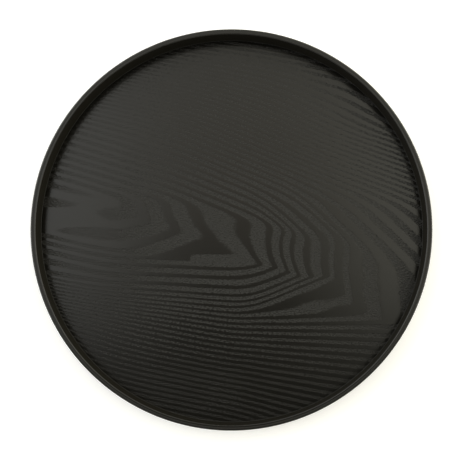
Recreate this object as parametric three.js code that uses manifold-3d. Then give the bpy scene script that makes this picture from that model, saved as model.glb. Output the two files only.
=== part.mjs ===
// Round serving tray with a bent-ply rim and a veneered plywood floor.
// Millimetres, +Z up. The origin is the centre of the tray on the table it stands on.
//
// The rim is three thin wooden strips, each bent into a hoop, closed by a scarf joint and glued
// to the next. The floor is a disc of three cross-laid plies between an ash face leaf and a
// backing leaf. It is dropped into the rim from below, against the lower edge of the inner
// strip, and a narrow retaining hoop glued in under it holds it there.

import * as THREE from "three";
import { mergeVertices } from "three/addons/utils/BufferGeometryUtils.js";
import Module from "manifold-3d";

// Overall sizes
const diameter = 380; // across the outside of the rim
const height = 36; // from the table to the crest of the lip
const hoopSides = 96; // straight sides that stand for one full circle

// Rim
const outerPly = 1.6; // thickness of the outer face strip
const corePly = 1.6; // thickness of the strip in the middle
const innerPly = 1.6; // thickness of the inner face strip
const glueLine = 0.1; // between any two glued faces
const outerLip = 1.4; // rounding of the lip towards the outside
const innerLip = 0.8; // rounding of the lip towards the inside
const lipSteps = 4; // flats across the top edge of one strip
const arris = 0.5; // bevel on the outer lower edge

// Scarf joints that close the strips
const scarfSlope = 8; // length of a scarf for each millimetre of thickness
const scarfGlue = 0.12; // width of the glue line in a scarf
const outerScarfAt = 232; // degrees round from +X
const coreScarfAt = 352;
const innerScarfAt = 112;
const hoopScarfAt = 52;

// Floor
const faceLeaf = 0.6; // ash leaf on top
const outerFloorPly = 0.8; // the plies above and below the middle one
const middleFloorPly = 1.0;
const backLeaf = 0.6; // ash leaf underneath
const floorFit = 0.2; // between the edge of the floor and the rim

// Retaining hoop under the floor
const hoopThickness = 1.5;
const hoopHeight = 3.0;
const hoopBevel = 0.4; // on its inner lower edge

// Radii of the strips, from the outside inwards
const outerOutside = diameter / 2;
const outerInside = outerOutside - outerPly;
const coreOutside = outerInside - glueLine;
const coreInside = coreOutside - corePly;
const innerOutside = coreInside - glueLine;
const innerInside = innerOutside - innerPly;
const rimThickness = outerOutside - innerInside;
const outerRound = Math.min(outerLip, rimThickness / 2);
const innerRound = Math.min(innerLip, rimThickness / 2);
const floorRadius = coreInside - floorFit;
const hoopOutside = coreInside - glueLine;
const hoopInside = hoopOutside - hoopThickness;

// Heights of the floor's layers, from the table upwards
const floorLayers = [
  ["floor_back_leaf", backLeaf],
  ["floor_lower_ply", outerFloorPly],
  ["floor_middle_ply", middleFloorPly],
  ["floor_upper_ply", outerFloorPly],
  ["floor_face_leaf", faceLeaf],
];
const floorUnderside = hoopHeight + glueLine;
const floorThickness = floorLayers.reduce((sum, [, thickness]) => sum + thickness + glueLine, -glueLine);
const floorTop = floorUnderside + floorThickness;

const wasm = await Module();
wasm.setup();

// Finishes
const stainedAsh = new THREE.MeshStandardMaterial({ color: 0x23221f, roughness: 0.5, metalness: 0 });
const stainedEdge = new THREE.MeshStandardMaterial({ color: 0x1d1c1a, roughness: 0.55, metalness: 0 });
const bareCore = new THREE.MeshStandardMaterial({ color: 0xc2a77e, roughness: 0.8, metalness: 0 });

// How far a quarter round has dropped, at a distance in from the face it runs out to.
function drop(round, inFromFace) {
  const short = Math.max(round - inFromFace, 0);
  return round - Math.sqrt(Math.max(round ** 2 - short ** 2, 0));
}

// Height of the lip's surface at a distance from the middle of the tray. The crest is flat
// between its two quarter rounds.
function lipHeight(radius) {
  return height - drop(outerRound, outerOutside - radius) - drop(innerRound, radius - innerInside);
}

// Points across the top edge of a strip, from its outer face to its inner one, closer together
// near the faces, where the rounding is steepest.
function topEdge(outside, inside) {
  return Array.from({ length: lipSteps + 1 }, (_, step) => {
    const across = (1 - Math.cos((Math.PI * step) / lipSteps)) / 2;
    const radius = outside + (inside - outside) * across;
    return new THREE.Vector2(radius, lipHeight(radius));
  });
}

// A closed profile, given anticlockwise as seen with +X outwards and +Z up, spun about +Z.
function spin(profile) {
  const lathe = new THREE.LatheGeometry([...profile, profile[0]], hoopSides);
  return lathe.rotateX(Math.PI / 2);
}

function point(radius, z) {
  return new THREE.Vector2(radius, z);
}

function solidOf(geometry) {
  const bare = geometry.clone();
  bare.deleteAttribute("normal");
  bare.deleteAttribute("uv");
  const merged = mergeVertices(bare, 1e-4);
  return new wasm.Manifold(
    new wasm.Mesh({
      numProp: 3,
      vertProperties: new Float32Array(merged.attributes.position.array),
      triVerts: new Uint32Array(merged.index.array),
    }),
  );
}

function geometryOf(solid) {
  const mesh = solid.getMesh();
  const geometry = new THREE.BufferGeometry();
  geometry.setAttribute("position", new THREE.BufferAttribute(mesh.vertProperties, 3));
  geometry.setIndex(new THREE.BufferAttribute(mesh.triVerts, 1));
  geometry.computeVertexNormals();
  return geometry;
}

// Opens a hoop with the slanting glue line of its scarf joint, so that it is one strip whose
// two tapered ends lie over each other.
function scarfed(hoop, outside, inside, degrees) {
  const thickness = outside - inside;
  const slope = Math.atan(1 / scarfSlope);
  const reach = 2 * thickness * scarfSlope;
  const cut = new THREE.BoxGeometry(scarfGlue, reach, 3 * height);
  cut.rotateZ(slope);
  cut.translate((outside + inside) / 2, 0, height / 2);
  cut.rotateZ(THREE.MathUtils.degToRad(degrees));
  return geometryOf(solidOf(hoop).subtract(solidOf(cut)));
}

const tray = new THREE.Group();

function add(name, geometry, material) {
  const mesh = new THREE.Mesh(geometry, material);
  mesh.name = name;
  tray.add(mesh);
}

function addOuterPly() {
  const profile = [
    point(outerInside, 0),
    point(outerOutside - arris, 0),
    point(outerOutside, arris),
    ...topEdge(outerOutside, outerInside),
  ];
  add("rim_outer_ply", scarfed(spin(profile), outerOutside, outerInside, outerScarfAt), stainedAsh);
}

function addCorePly() {
  const profile = [
    point(coreInside, 0),
    point(coreOutside, 0),
    ...topEdge(coreOutside, coreInside),
  ];
  add("rim_core_ply", scarfed(spin(profile), coreOutside, coreInside, coreScarfAt), stainedEdge);
}

// The inner strip stops above the floor, which is pushed up against its lower edge.
function addInnerPly() {
  const foot = floorTop + glueLine;
  const profile = [
    point(innerInside, foot),
    point(innerOutside, foot),
    ...topEdge(innerOutside, innerInside),
  ];
  add("rim_inner_ply", scarfed(spin(profile), innerOutside, innerInside, innerScarfAt), stainedAsh);
}

function addRetainingHoop() {
  const profile = [
    point(hoopInside + hoopBevel, 0),
    point(hoopOutside, 0),
    point(hoopOutside, hoopHeight),
    point(hoopInside, hoopHeight),
    point(hoopInside, hoopBevel),
  ];
  add("floor_retaining_hoop", scarfed(spin(profile), hoopOutside, hoopInside, hoopScarfAt), stainedAsh);
}

function addFloor() {
  let under = floorUnderside;
  for (const [name, thickness] of floorLayers) {
    const over = under + thickness;
    const disc = new THREE.LatheGeometry(
      [point(0, under), point(floorRadius, under), point(floorRadius, over), point(0, over)],
      hoopSides,
    );
    add(name, disc.rotateX(Math.PI / 2), name.endsWith("leaf") ? stainedAsh : bareCore);
    under = over + glueLine;
  }
}

addOuterPly();
addCorePly();
addInnerPly();
addRetainingHoop();
addFloor();

export default tray;
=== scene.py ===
# Round serving tray of black-stained ash: a rim of three bent plies round a veneered floor.
# Metres, +Z up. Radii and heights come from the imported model. Its small roundings, glue lines
# and scarf joints are written again here, beside the pieces that have them.

import math

import bmesh
import bpy
from mathutils import Matrix, Vector


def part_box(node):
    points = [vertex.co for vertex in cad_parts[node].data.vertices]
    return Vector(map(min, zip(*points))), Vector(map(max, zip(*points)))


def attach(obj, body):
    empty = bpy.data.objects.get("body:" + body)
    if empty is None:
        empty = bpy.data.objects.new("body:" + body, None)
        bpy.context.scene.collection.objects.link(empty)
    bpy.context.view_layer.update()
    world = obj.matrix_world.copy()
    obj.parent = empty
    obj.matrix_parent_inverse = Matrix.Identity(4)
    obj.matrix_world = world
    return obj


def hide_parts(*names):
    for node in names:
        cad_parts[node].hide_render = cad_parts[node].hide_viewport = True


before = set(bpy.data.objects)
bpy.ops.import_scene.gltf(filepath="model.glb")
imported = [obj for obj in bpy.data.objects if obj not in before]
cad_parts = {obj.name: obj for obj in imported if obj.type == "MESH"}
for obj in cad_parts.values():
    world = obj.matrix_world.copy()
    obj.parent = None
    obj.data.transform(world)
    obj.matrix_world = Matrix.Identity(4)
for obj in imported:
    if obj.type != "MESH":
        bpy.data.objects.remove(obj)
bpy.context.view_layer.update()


def ringSize(node):
    low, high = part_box(node)
    return (high.x - low.x) / 2, low.z, high.z


# outer radius, underside and top of each ring and leaf
outerRadius, trayBottom, trayTop = ringSize("rim_outer_ply")
coreRadius = ringSize("rim_core_ply")[0]
innerRadius, innerFoot, _ = ringSize("rim_inner_ply")
hoopRadius, _, hoopTop = ringSize("floor_retaining_hoop")
faceRadius, faceUnder, floorTop = ringSize("floor_face_leaf")
backRadius, backUnder, backTop = ringSize("floor_back_leaf")


# Numbers that flow through a node tree, so that a pattern can be written as a sum.

class Flow:
    def __init__(self, tree, socket):
        self.tree = tree
        self.socket = socket

    def __add__(self, other):
        return reckon(self.tree, "ADD", self, other)

    def __radd__(self, other):
        return reckon(self.tree, "ADD", other, self)

    def __sub__(self, other):
        return reckon(self.tree, "SUBTRACT", self, other)

    def __rsub__(self, other):
        return reckon(self.tree, "SUBTRACT", other, self)

    def __mul__(self, other):
        return reckon(self.tree, "MULTIPLY", self, other)

    def __rmul__(self, other):
        return reckon(self.tree, "MULTIPLY", other, self)

    def __truediv__(self, other):
        return reckon(self.tree, "DIVIDE", self, other)

    def __neg__(self):
        return reckon(self.tree, "MULTIPLY", self, -1)


def plug(tree, value, socket):
    if isinstance(value, Flow):
        tree.links.new(value.socket, socket)
    else:
        socket.default_value = value


def reckon(tree, operation, *values, clamp=False):
    node = tree.nodes.new("ShaderNodeMath")
    node.operation = operation
    node.use_clamp = clamp
    for value, socket in zip(values, node.inputs):
        plug(tree, value, socket)
    return Flow(tree, node.outputs[0])


def larger(a, b, blend):
    return reckon((a if isinstance(a, Flow) else b).tree, "SMOOTH_MAX", a, b, blend)


def smaller(a, b, blend):
    return reckon((a if isinstance(a, Flow) else b).tree, "SMOOTH_MIN", a, b, blend)


def beyond(value, start, blend):
    # how far value is past start, from nothing, with a soft corner
    return larger(value, start, blend) - start


def ease(value, start, end, low=0.0, high=1.0):
    node = value.tree.nodes.new("ShaderNodeMapRange")
    node.interpolation_type = "SMOOTHSTEP"
    plug(value.tree, value, node.inputs["Value"])
    node.inputs["From Min"].default_value = start
    node.inputs["From Max"].default_value = end
    node.inputs["To Min"].default_value = low
    node.inputs["To Max"].default_value = high
    return Flow(value.tree, node.outputs["Result"])


def joined(x, y, z=0.0):
    node = x.tree.nodes.new("ShaderNodeCombineXYZ")
    for value, socket in zip((x, y, z), node.inputs):
        plug(x.tree, value, socket)
    return Flow(x.tree, node.outputs[0])


def parted(tree, socket):
    node = tree.nodes.new("ShaderNodeSeparateXYZ")
    tree.links.new(socket, node.inputs[0])
    return [Flow(tree, output) for output in node.outputs]


def noise(place, scale=1.0, detail=2.0, roughness=0.5):
    node = place.tree.nodes.new("ShaderNodeTexNoise")
    plug(place.tree, place, node.inputs["Vector"])
    node.inputs["Scale"].default_value = scale
    node.inputs["Detail"].default_value = detail
    node.inputs["Roughness"].default_value = roughness
    return Flow(place.tree, node.outputs["Fac"])


def blended(amount, low, high):
    node = amount.tree.nodes.new("ShaderNodeMix")
    node.data_type = "RGBA"
    plug(amount.tree, amount, node.inputs["Factor"])
    for name, colour in (("A", low), ("B", high)):
        socket = [s for s in node.inputs if s.name == name and s.type == "RGBA"][0]
        if isinstance(colour, Flow):
            plug(amount.tree, colour, socket)
        else:
            socket.default_value = (*colour, 1)
    return Flow(amount.tree, [s for s in node.outputs if s.type == "RGBA"][0])


def newMaterial(name):
    material = bpy.data.materials.new(name)
    material.use_nodes = True
    return material, material.node_tree, material.node_tree.nodes["Principled BSDF"]


def dress(tree, shader, colour, roughness, height, relief):
    plug(tree, colour, shader.inputs["Base Color"])
    plug(tree, roughness, shader.inputs["Roughness"])
    bump = tree.nodes.new("ShaderNodeBump")
    bump.inputs["Strength"].default_value = 1.0
    bump.inputs["Distance"].default_value = relief
    plug(tree, height, bump.inputs["Height"])
    tree.links.new(bump.outputs["Normal"], shader.inputs["Normal"])


# Millimetres east and north on the floor, or along and across a bent strip.

def floorPlace(tree):
    x, y, _ = parted(tree, tree.nodes.new("ShaderNodeTexCoord").outputs["Object"])
    return x * 1000, y * 1000


def stripPlace(tree):
    node = tree.nodes.new("ShaderNodeUVMap")
    node.uv_map = "grain"
    along, across, _ = parted(tree, node.outputs["UV"])
    return along * 1000, across * 1000


# The face leaf's figure. Rings are numbered outwards from the heart of the cathedral. A whole
# number is the middle of smooth latewood, and a half is the middle of open-pored earlywood.

def noseRings(x, y):
    # the rings round the eastern point of the figure, closer together the farther out they are
    middle = -2.6 - 0.335 * beyond(x, 10, 18)
    off = y - middle
    lean = ease(x + 0.8 * off, -8, 20, 0.85, 0)
    bow = ease(x, 60, 120, 0.0135, 0.004)
    across = x + lean * off - bow * smaller(off * off, 900, 180)
    wide = smaller((across + 26.5) / 39.4, (across + 26.5) / 24, 0.45)
    crowded = 1.3 * (1 + reckon(x.tree, "TANH", (across - 51) / 18))
    return wide + crowded + 0.95 * (1 + reckon(x.tree, "TANH", (across - 100) / 19))


def lowerRings(x, y):
    # the long rings south of the heart, nearly level, with a shelf where they widen
    west = 5 - smaller(x, 5, 60)
    edge = 0.2 * (-115 - smaller(x, -115, 60))
    level = ease(y, -40, -100, 0.05, 0.2) * west + edge - y
    rising = level + 0.43 * beyond(x, 18, 30)
    steep = smaller((rising - 31) / 6.3, (rising - 27.9) / 9.6, 0.9)
    steep = larger(steep, (rising - 45) / 5.2, 0.9)
    east = larger(x, 0, 60)
    flat = 8 + (level + 0.03 * east - 86.5) / (5.1 + 0.02 * east)
    shelf = 3.87 - y / 28 + x / 90
    return smaller(steep, larger(flat, shelf, 1.2), 1.2)


def heartRings(x, y):
    # the smooth heart, west of the point
    bent = larger(x, -100, 60) - 0.6 * smaller(x, -110, 60) - 66
    away = (0.4 * bent - y + 0.4) / 20
    lit = 0.1 + 0.4 * ease(y, -22, -27) * ease(x, -42, -36)
    return smaller(away, lit, 0.6)


def upperRings(x, y):
    # the rings north of the heart: a shoulder falling to the east, and a limb climbing westwards
    fall = y + 0.95 * x - 42.7
    shoulder = smaller(fall / 6.6, 1.95 + fall / 17, 1.5) + ease(fall, 42, 64, 0, 1.1)
    shoulder = 2 + smaller(shoulder, 3.4 + fall / 19.3, 0.8)
    slope = ease(y, 90, 175, 0.42, 0.16)
    climb = y + slope * larger(x, -75, 60) + 0.3 * (smaller(x, -75, 60) + 75)
    climb = climb * (1 - 0.00055 * beyond(x, 80, 30))
    limb = 2 + (climb - 24) / 7.2 + 0.03 * beyond(climb, 50, 24) + 0.04 * beyond(climb, 95, 45)
    return larger(shoulder, limb, 2.4)


def cathedral(x, y):
    inside = larger(noseRings(x, y), heartRings(x, y), 0.45)
    return larger(larger(inside, upperRings(x, y), 1.2), lowerRings(x, y), 0.3)


def openShare(x, y):
    # wide open rings round the heart, narrow ones towards the east, none at the western end
    narrow = (ease(x, 80, 100) - 0.55 * ease(x, 108, 122)) * ease(y, -88, -74)
    western = ease(x, -118, -138) * ease(reckon(x.tree, "ABSOLUTE", y - 0.1 * x - 28), 13, 8)
    porous = ease(x, -100, -70) * ease(x, 20, 0) * ease(y, -132, -140) * ease(y, -180, -172)
    south = ease(y, -60, -105)
    return 0.12 - 0.18 * south - 0.36 * narrow - western + 0.2 * porous


# Straight grain for the back leaf and the bent strips.

def straight(spacing):
    def rings(x, y):
        return y / spacing + 1.6 * noise(joined(x * 0.004, y * 0.03), 1.0, 1.0)
    return rings


def openDepthPaintedLight(x, y):
    # how strongly the open rings show: less towards the west, over the northern half and in the south. The
    # grain is real, but its fading there is painted light: colour and roughness are evened out to stand in
    # for how the light falls on those parts of the floor.
    west = ease(x, -60, -130) * ease(y, -120, -40) * ease(x, -174, -150, 0.45, 1)
    north = ease(y, 25, 85) * ease(x, 130, 60)
    south = ease(y, -50, -140)
    return 1 - 0.75 * west - 0.55 * north * (1 - west) - 0.62 * south * (1 - west)


def even(amount):
    return lambda x, y: amount


ash = {
    "smooth": (0.0050, 0.0047, 0.0038),    # stained latewood
    "open": (0.0062, 0.0059, 0.0047),      # stained earlywood
    "smoothRoughness": 0.16,
    "openRoughness": 0.35,
    "waver": 0.16,      # of a ring, how far its edges wander
    "poreLength": 2.4,  # millimetres
    "poreWidth": 0.9,
    "fray": 0.9,        # fine wander of the edges, as a share of the coarse one
    "opensFrom": 0.30,  # where along its wave a ring starts to open
    "opensTo": 0.74,
    "poreFrom": 0.44,   # level of the noise where a pore begins
    "poreTo": 0.62,
    "poreRough": 0.20,  # how much rougher a pore is than the wood beside it
    "relief": 0.00010,
    "index": 1.45,      # refractive index of the stain and lacquer
    "reflection": 0.5,
}


def ashMaterial(name, place, rings, share, depth, values):
    material, tree, shader = newMaterial(name)
    x, y = place(tree)
    wander = noise(joined(x * 0.05, y * 0.1), 1.0, 2.0, 0.6) - 0.5
    fray = noise(joined(x * 0.35, y * 0.9), 1.0, 1.0) - 0.5
    ring = rings(x, y) + values["waver"] * (wander + values["fray"] * fray)
    wave = 0.5 - 0.5 * reckon(tree, "COSINE", ring * math.tau)
    openGrain = ease(wave + share(x, y), values["opensFrom"], values["opensTo"]) * depth(x, y)

    # pores: short grooves along the grain, crowded in the open rings and rare in the smooth ones
    pores = noise(joined(x / values["poreLength"], y / values["poreWidth"]), 1.0, 2.0, 0.6)
    pore = ease(pores, values["poreFrom"], values["poreTo"])
    fibre = noise(joined(x * 0.12, y * 2.2), 1.0, 3.0, 0.65)
    cloud = noise(joined(x * 0.014, y * 0.02), 1.0, 2.0)
    colour = blended(openGrain * (0.55 + 0.45 * fibre), values["smooth"], values["open"])
    spread = values["openRoughness"] - values["smoothRoughness"]
    rougher = values["poreRough"] * (pore - 0.5)
    roughness = values["smoothRoughness"] + openGrain * (spread + rougher)
    roughness = roughness + 0.04 * (cloud - 0.5) + 0.05 * (fibre - 0.5)
    height = 0.06 * fibre - (0.03 + 0.97 * openGrain) * pore
    dress(tree, shader, colour, roughness, height, values["relief"])
    shader.inputs["IOR"].default_value = values["index"]
    shader.inputs["Specular IOR Level"].default_value = values["reflection"]
    return material


edgeGrain = {
    "dark": (0.0045, 0.0042, 0.0034),
    "light": (0.0100, 0.0092, 0.0070),
    "roughness": 0.48,
    "relief": 0.00003,
    "index": 1.38,
}


def edgeMaterial(name, values):
    # the core strip's grain runs up and down, so its edge is a row of cut fibre ends
    material, tree, shader = newMaterial(name)
    along, across = stripPlace(tree)
    ends = noise(joined(along * 1.6, across * 1.2), 1.0, 3.0, 0.6)
    streak = noise(joined(along * 0.05, across * 0.4), 1.0, 2.0)
    colour = blended(ease(ends, 0.35, 0.7), values["dark"], values["light"])
    roughness = values["roughness"] + 0.12 * (ends - 0.5) + 0.08 * (streak - 0.5)
    dress(tree, shader, colour, roughness, ends, values["relief"])
    shader.inputs["IOR"].default_value = values["index"]
    return material


birch = {
    "pale": (0.56, 0.42, 0.26),
    "warm": (0.42, 0.28, 0.15),
    "roughness": 0.62,
    "relief": 0.00004,
}


def birchMaterial(name, lengthwise, values):
    material, tree, shader = newMaterial(name)
    x, y = floorPlace(tree)
    along, across = (x, y) if lengthwise else (y, x)
    figure = noise(joined(along * 0.008, across * 0.09), 1.0, 4.0, 0.6)
    flecks = noise(joined(along * 0.3, across * 2.5), 1.0, 2.0)
    amount = ease(figure, 0.35, 0.65) * 0.7 + flecks * 0.3
    roughness = values["roughness"] + 0.1 * (flecks - 0.5)
    dress(tree, shader, blended(amount, values["pale"], values["warm"]), roughness, flecks, values["relief"])
    return material


glue = {
    "dark": (0.0060, 0.0056, 0.0046),
    "light": (0.0090, 0.0085, 0.0066),
    "roughness": 0.55,
    "relief": 0.00003,
    "index": 1.45,
}


def glueMaterial(name, values):
    material, tree, shader = newMaterial(name)
    along, across = stripPlace(tree)
    ripple = noise(joined(along * 0.25, across * 0.6), 1.0, 2.0)
    colour = blended(ripple, values["dark"], values["light"])
    roughness = values["roughness"] + 0.12 * (ripple - 0.5)
    dress(tree, shader, colour, roughness, ripple, values["relief"])
    shader.inputs["IOR"].default_value = values["index"]
    return material


plainAsh = dict(ash, smoothRoughness=0.30, openRoughness=0.42, relief=0.00005)
dullAsh = dict(ash, smoothRoughness=0.50, openRoughness=0.60, relief=0.00005)
# the inside wall is fully matt, and painted a little lighter than the floor: painted light, the same stained
# ash given a lighter colour to stand in for the light falling on the wall
wallAshPaintedLighter = dict(dullAsh, smooth=(0.0125, 0.0116, 0.0094), open=(0.0140, 0.0130, 0.0105),
               reflection=0.0)
polishedAsh = dict(ash, smoothRoughness=0.16, openRoughness=0.22, relief=0.00002)
leafSpacing = 5.5   # millimetres between the rings of the back leaf
stripSpacing = 2.6  # and of the bent strips
faceAsh = ashMaterial("faceAsh", floorPlace, cathedral, openShare, openDepthPaintedLight, ash)
backAsh = ashMaterial("backAsh", floorPlace, straight(leafSpacing), even(0.0), even(1.0), plainAsh)


def stripMaterial(name, values):
    return ashMaterial(name, stripPlace, straight(stripSpacing), even(0.0), even(1.0), values)


stripAsh = stripMaterial("stripAsh", dullAsh)
lipAsh = stripMaterial("lipAsh", polishedAsh)
wallStripPaintedLighter = stripMaterial("wallStripPaintedLighter", wallAshPaintedLighter)
coreEdge = edgeMaterial("coreEdge", edgeGrain)
lengthBirch = birchMaterial("lengthBirch", True, birch)
crossBirch = birchMaterial("crossBirch", False, birch)
lacquer = glueMaterial("lacquer", glue)
print("materials made")


def newPiece(name, bm, material, slot, *nodes):
    mesh = bpy.data.meshes.new(name)
    bm.to_mesh(mesh)
    bm.free()
    mesh.materials.append(material)
    piece = bpy.data.objects.new(name, mesh)
    bpy.context.scene.collection.objects.link(piece)
    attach(piece, "root")
    if nodes:
        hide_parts(*nodes)
    print(name, "made,", len(mesh.polygons), "faces")
    return piece


rim = {
    "outerRounding": 0.0014,   # of the lip, towards the outside
    "innerRounding": 0.0008,   # of the lip, towards the inside
    "glueLine": 0.0001,
    "arris": 0.0005,           # on the outer lower edge
    "scarfSlope": 8,           # length of a scarf for its thickness
    "scarfGlue": 0.00012,
    "steps": 320,              # round the whole hoop
    "lipCuts": 14,             # across the edge of one strip
    "outerScarfAt": 232,       # degrees round from +X
    "coreScarfAt": 352,
    "innerScarfAt": 112,
    "hoopScarfAt": 52,
}
wall = outerRadius - coreRadius
rimInside = innerRadius - wall + rim["glueLine"]


def lipHeight(radius):
    outwards = max(rim["outerRounding"] - (outerRadius - radius), 0)
    inwards = max(rim["innerRounding"] - (radius - rimInside), 0)
    drop = rim["outerRounding"] - math.sqrt(max(rim["outerRounding"] ** 2 - outwards ** 2, 0))
    drop += rim["innerRounding"] - math.sqrt(max(rim["innerRounding"] ** 2 - inwards ** 2, 0))
    return trayTop - drop


def lipEdge(outside, inside):
    # from the outer face of a strip to its inner one, closer together near the faces
    cuts = rim["lipCuts"]
    for cut in range(cuts + 1):
        across = (1 + math.cos(math.pi * cut / cuts)) / 2
        radius = inside + (outside - inside) * across
        yield radius, lipHeight(radius)


def bentStrip(profile, scarfAt):
    # a closed profile of (radius, height), bent into a hoop that stops at its slanting glue line
    radii = [radius for radius, _ in profile]
    middle = (min(radii) + max(radii)) / 2
    gap = rim["scarfGlue"] * rim["scarfSlope"] / middle
    bm = bmesh.new()
    corners = []
    for radius, z in profile:
        slant = (radius - middle) * rim["scarfSlope"] / middle
        angle = math.radians(scarfAt) + slant + gap / 2
        corners.append(bm.verts.new((radius * math.cos(angle), radius * math.sin(angle), z)))
    start = bm.faces.new(corners)
    bmesh.ops.spin(bm, geom=[start] + start.verts[:] + start.edges[:], cent=(0, 0, 0), axis=(0, 0, 1),
                   angle=math.tau - gap, steps=rim["steps"], use_merge=False, use_duplicate=False)
    bmesh.ops.recalc_face_normals(bm, faces=bm.faces[:])
    layGrain(bm, middle, scarfAt, profile[-1][0])
    return bm


def layGrain(bm, middle, startAt, faceRadiusHere):
    # length round the hoop and height up its face, in metres, as the piece's UV map
    grain = bm.loops.layers.uv.new("grain")
    seam = math.radians(startAt)
    for face in bm.faces:
        centre = face.calc_center_median()
        turn = (math.atan2(centre.y, centre.x) - seam) % math.tau
        for loop in face.loops:
            spot = loop.vert.co
            here = (math.atan2(spot.y, spot.x) - seam) % math.tau
            here += math.tau * round((turn - here) / math.tau)
            radius = math.hypot(spot.x, spot.y)
            loop[grain].uv = (here * middle, spot.z + abs(faceRadiusHere - radius))


def softenEdges(bm, sharpest):
    # smooth shading, but for level faces and edges that turn more sharply than this many degrees
    for face in bm.faces:
        face.smooth = abs(face.normal.z) < 0.9999
    for edge in bm.edges:
        if len(edge.link_faces) == 2 and edge.calc_face_angle() > math.radians(sharpest):
            edge.smooth = False


def strip(profile, scarfAt):
    bm = bentStrip(profile, scarfAt)
    softenEdges(bm, 35)
    return bm


def arc(centreRadius, centreHeight, size, startAngle, endAngle, cuts):
    for cut in range(cuts + 1):
        angle = math.radians(startAngle + (endAngle - startAngle) * cut / cuts)
        yield centreRadius + size * math.cos(angle), centreHeight + size * math.sin(angle)


def polishLip(piece):
    # the rounded top is polished smoother than the faces below it
    piece.data.materials.append(lipAsh)
    for face in piece.data.polygons:
        if face.center.z > trayTop - rim["outerRounding"]:
            face.material_index = 1


outerInside = coreRadius + rim["glueLine"]
coreInside = innerRadius + rim["glueLine"]
soft = 0.0002  # the smallest rounding on a sanded edge

outerProfile = [
    *arc(outerInside + soft, trayBottom + soft, soft, 180, 270, 3),
    *arc(outerRadius - rim["arris"], trayBottom + rim["arris"], rim["arris"], 270, 360, 6),
    *lipEdge(outerRadius, outerInside),
]
outer = strip(outerProfile, rim["outerScarfAt"])
polishLip(newPiece("outerPly", outer, stripAsh, "stained_ash", "rim_outer_ply"))

coreProfile = [
    *arc(coreInside + soft, trayBottom + soft, soft, 180, 270, 3),
    *arc(coreRadius - soft, trayBottom + soft, soft, 270, 360, 3),
    *lipEdge(coreRadius, coreInside),
]
newPiece("corePly", strip(coreProfile, rim["coreScarfAt"]), coreEdge, "stained_edge", "rim_core_ply")

innerProfile = [
    (rimInside, innerFoot),
    (innerRadius, innerFoot),
    *lipEdge(innerRadius, rimInside),
]
inner = strip(innerProfile, rim["innerScarfAt"])
polishLip(newPiece("innerPly", inner, wallStripPaintedLighter, "stained_ash", "rim_inner_ply"))

hoop = {
    "thickness": 0.0015,
    "rounding": 0.0004,   # on the inner lower edge
}
hoopInside = hoopRadius - hoop["thickness"]
hoopProfile = [
    *arc(hoopRadius - soft, trayBottom + soft, soft, 270, 360, 3),
    (hoopRadius, hoopTop),
    (hoopInside, hoopTop),
    *arc(hoopInside + hoop["rounding"], trayBottom + hoop["rounding"], hoop["rounding"], 180, 270, 5),
]
hoopStrip = strip(hoopProfile, rim["hoopScarfAt"])
newPiece("retainingHoop", hoopStrip, stripAsh, "stained_ash", "floor_retaining_hoop")

bead = {
    "size": 0.00025,  # of the fillet of lacquer in the corner of floor and wall
    "cuts": 5,
    "sunk": 0.00002,
}


def cornerBead():
    outside = rimInside - bead["sunk"]
    floor = floorTop + bead["sunk"]
    size = bead["size"]
    profile = [(outside, floor), *arc(outside - size, floor + size, size, 0, -90, bead["cuts"])]
    bm = bmesh.new()
    corners = [bm.verts.new((radius, 0, z)) for radius, z in profile]
    start = bm.faces.new(corners)
    bmesh.ops.spin(bm, geom=[start] + start.verts[:] + start.edges[:], cent=(0, 0, 0), axis=(0, 0, 1),
                   angle=math.tau, steps=rim["steps"], use_merge=True, use_duplicate=False)
    inner = [face for face in bm.faces if len(face.verts) > 4]
    bmesh.ops.delete(bm, geom=inner, context="FACES_ONLY")
    bmesh.ops.remove_doubles(bm, verts=bm.verts[:], dist=1e-7)
    bmesh.ops.recalc_face_normals(bm, faces=bm.faces[:])
    layGrain(bm, outside, 0, outside)
    softenEdges(bm, 50)
    return bm


newPiece("cornerBead", cornerBead(), lacquer, "stained_ash")

leaf = {
    "sides": 256,
    "rounding": 0.0001,
    "roundCuts": 2,
}


def leafDisc(radius, under, top):
    bm = bmesh.new()
    bmesh.ops.create_circle(bm, cap_ends=True, cap_tris=True, segments=leaf["sides"], radius=radius)
    bmesh.ops.translate(bm, vec=(0, 0, under), verts=bm.verts[:])
    raised = bmesh.ops.extrude_face_region(bm, geom=bm.faces[:], use_keep_orig=True)["geom"]
    bmesh.ops.translate(bm, vec=(0, 0, top - under),
                        verts=[item for item in raised if isinstance(item, bmesh.types.BMVert)])
    bmesh.ops.recalc_face_normals(bm, faces=bm.faces[:])
    rims = [edge for edge in bm.edges if abs(edge.calc_face_angle(0)) > 1]
    bmesh.ops.bevel(bm, geom=rims, offset=leaf["rounding"], offset_type="OFFSET", affect="EDGES",
                    segments=leaf["roundCuts"], profile=0.5, material=-1)
    softenEdges(bm, 30)
    return bm


newPiece("faceLeaf", leafDisc(faceRadius, faceUnder, floorTop), faceAsh, "stained_ash", "floor_face_leaf")
newPiece("backLeaf", leafDisc(backRadius, backUnder, backTop), backAsh, "stained_ash", "floor_back_leaf")

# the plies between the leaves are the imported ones, and cross each other
plyFinish = {
    "floor_lower_ply": crossBirch,
    "floor_middle_ply": lengthBirch,
    "floor_upper_ply": crossBirch,
}
for name, material in plyFinish.items():
    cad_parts[name].data.materials.clear()
    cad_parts[name].data.materials.append(material)
print("floor plies finished")


scene = bpy.context.scene
scene.view_settings.view_transform = "Standard"

table = {
    "size": 24.0,
    "colour": (0.90, 0.90, 0.90),
    "glow": 0.3,    # lifts the paper to white, as a well lit sweep is
    "below": 0.0005,
    "mottle": 0.98,  # the darker fibres, as a share of the colour
    "roughness": 0.9,
    "relief": 0.00001,
}


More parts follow.
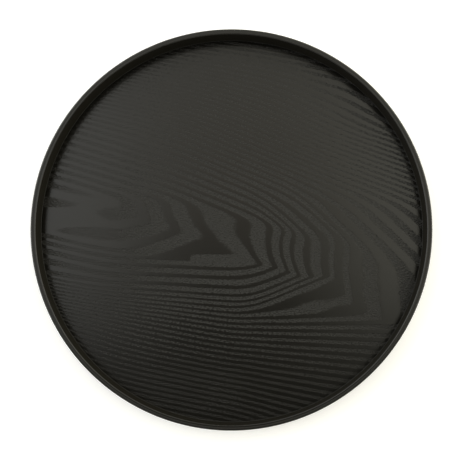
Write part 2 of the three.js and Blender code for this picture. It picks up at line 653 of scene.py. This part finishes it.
def tableTop():
    material, tree, shader = newMaterial("paper")
    x, y = floorPlace(tree)
    fibres = noise(joined(x, y), 1.5, 3.0)
    shade = blended(fibres, tuple(table["mottle"] * part for part in table["colour"]), table["colour"])
    dress(tree, shader, shade, table["roughness"] + 0.02 * fibres, fibres, table["relief"])
    shader.inputs["Emission Color"].default_value = (1, 1, 1, 1)
    shader.inputs["Emission Strength"].default_value = table["glow"]
    bm = bmesh.new()
    bmesh.ops.create_grid(bm, x_segments=1, y_segments=1, size=table["size"] / 2)
    bmesh.ops.translate(bm, vec=(0, 0, trayBottom - table["below"]), verts=bm.verts[:])
    mesh = bpy.data.meshes.new("tableTop")
    bm.to_mesh(mesh)
    bm.free()
    mesh.materials.append(material)
    top = bpy.data.objects.new("tableTop", mesh)
    scene.collection.objects.link(top)


tableTop()

studio = {
    "level": 1.05,
    "eastern": (1.0, 0.973, 0.83),
    "western": (1.0, 1.0, 0.96),
    "rosy": (1.0, 0.87, 0.73),      # a warmer patch north of overhead
    "darkness": 0.99,
    "haze": 0.95,                   # left in the shade, low in the south
    "shadeNorth": (0.124, -0.002),  # the shaded patch overhead begins between these
    "shadeAt": -0.0155,             # its middle, overhead
    "shadeWidth": 0.0715,           # half of its width overhead
    "shadeSpread": 1.7,             # how much wider it grows towards the south
    "shadeEdge": (0.40, 1.65),      # its soft edge, in half widths
    "near": 0.58,                   # two broad side lights beside it
    "nearFrom": 0.07,
    "nearTo": 0.115,
    "nearEnd": (-0.12, 0.0),        # where they stop towards the south
    "far": 1.20,                    # and two brighter ones low down
    "farFrom": 0.35,
    "farTo": 0.80,
    "hazeFrom": (0.55, 0.80),       # how low in the south the haze begins
    "dim": (0.05, 0.4, 1, 0.6),     # the sky darkens towards the south,
    "glow": (0.5, 0.8, 0, 0.4),     # and is as bright again near the table
    "turn": (-0.19, -0.02),         # from the western colour to the eastern one
}


def studioLight():
    world = bpy.data.worlds.new("studio")
    scene.world = world
    world.use_nodes = True
    tree = world.node_tree
    x, y, _ = parted(tree, tree.nodes.new("ShaderNodeTexCoord").outputs["Generated"])
    sideways = reckon(tree, "ABSOLUTE", x - studio["shadeAt"])
    width = studio["shadeWidth"] + studio["shadeSpread"] * reckon(tree, "MAXIMUM", -y, 0)
    within = ease(sideways / width, *studio["shadeEdge"], 1, 0)
    behind = ease(y, *reversed(studio["shadeNorth"]), 1, 0)
    haze = studio["haze"] * ease(-y, *studio["hazeFrom"])
    shade = within * behind * (studio["darkness"] - haze)
    near = studio["near"] * ease(sideways, studio["nearFrom"], studio["nearTo"])
    near = near * ease(y, *studio["nearEnd"])
    far = studio["far"] * ease(sideways, studio["farFrom"], studio["farTo"])
    sky = ease(-y, *studio["dim"]) + ease(-y, *studio["glow"])
    strength = studio["level"] * (1 - shade) * (1 + near + far) * sky
    background = tree.nodes["Background"]
    plug(tree, strength, background.inputs["Strength"])
    colour = blended(ease(x, *studio["turn"]), studio["western"], studio["eastern"])
    rosy = ease(reckon(tree, "ABSOLUTE", x + 0.01), 0.10, 0.01) * ease(y, -0.08, 0.03) * ease(y, 0.20, 0.08)
    plug(tree, blended(rosy, colour, studio["rosy"]), background.inputs["Color"])


studioLight()

view = {
    "east": 0.0226,
    "south": 0.0563,
    "above": 1.114,     # over the floor of the tray
    "lens": 90.12,
    "aim": (-0.00067, -0.00165, 0.0339),
}


def addCamera():
    camera = bpy.data.objects.new("camera", bpy.data.cameras.new("camera"))
    scene.collection.objects.link(camera)
    scene.camera = camera
    camera.location = (view["east"], -view["south"], floorTop + view["above"])
    # north is up in the view
    towards = (Vector(view["aim"]) - camera.location).normalized()
    eastwards = towards.cross(Vector((0, 1, 0))).normalized()
    upwards = eastwards.cross(towards)
    camera.rotation_euler = Matrix((eastwards, upwards, -towards)).transposed().to_euler()
    camera.data.lens = view["lens"]
    camera.data.sensor_width = 36


addCamera()
print("stage, light and camera set")
